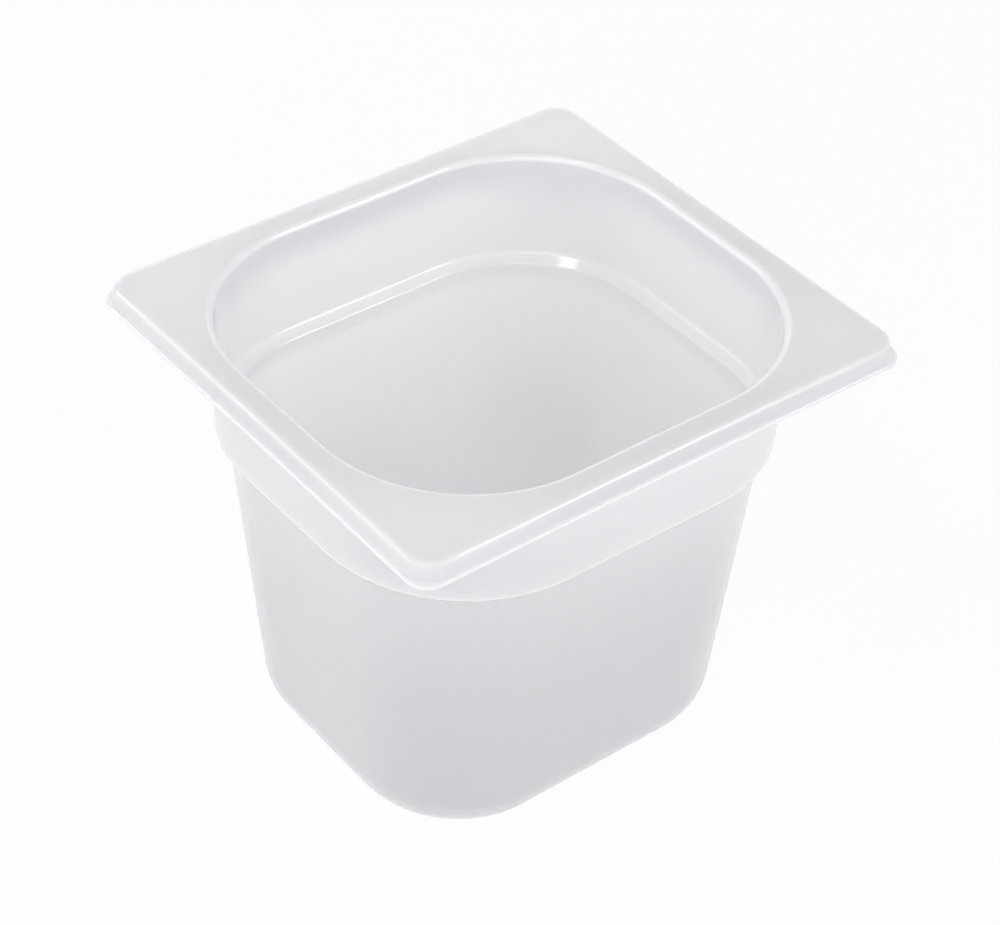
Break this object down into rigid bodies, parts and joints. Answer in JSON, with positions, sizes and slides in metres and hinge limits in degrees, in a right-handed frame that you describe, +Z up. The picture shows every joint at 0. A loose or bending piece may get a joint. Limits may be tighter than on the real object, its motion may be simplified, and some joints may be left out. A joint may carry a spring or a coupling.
{
  "type": "deli food pan",
  "caption": "Deep rectangular food pan with a flat square-cornered rim, hanging skirt and lip, rounded mouth, stacking shoulder and tapered basin.",
  "frame": {"origin": "on the surface the pan stands on, under the middle of the floor", "axes": "+Z up towards the mouth, +X along the longer side of the rim, +Y along the shorter side"},
  "size_m": [0.176, 0.162, 0.15],
  "materials": {
    "milky_plastic": "milky translucent polypropylene, satin with a soft gloss"
  },
  "bodies": {
    "root": {"pan": "milky_plastic"}
  },
  "joints": []
}
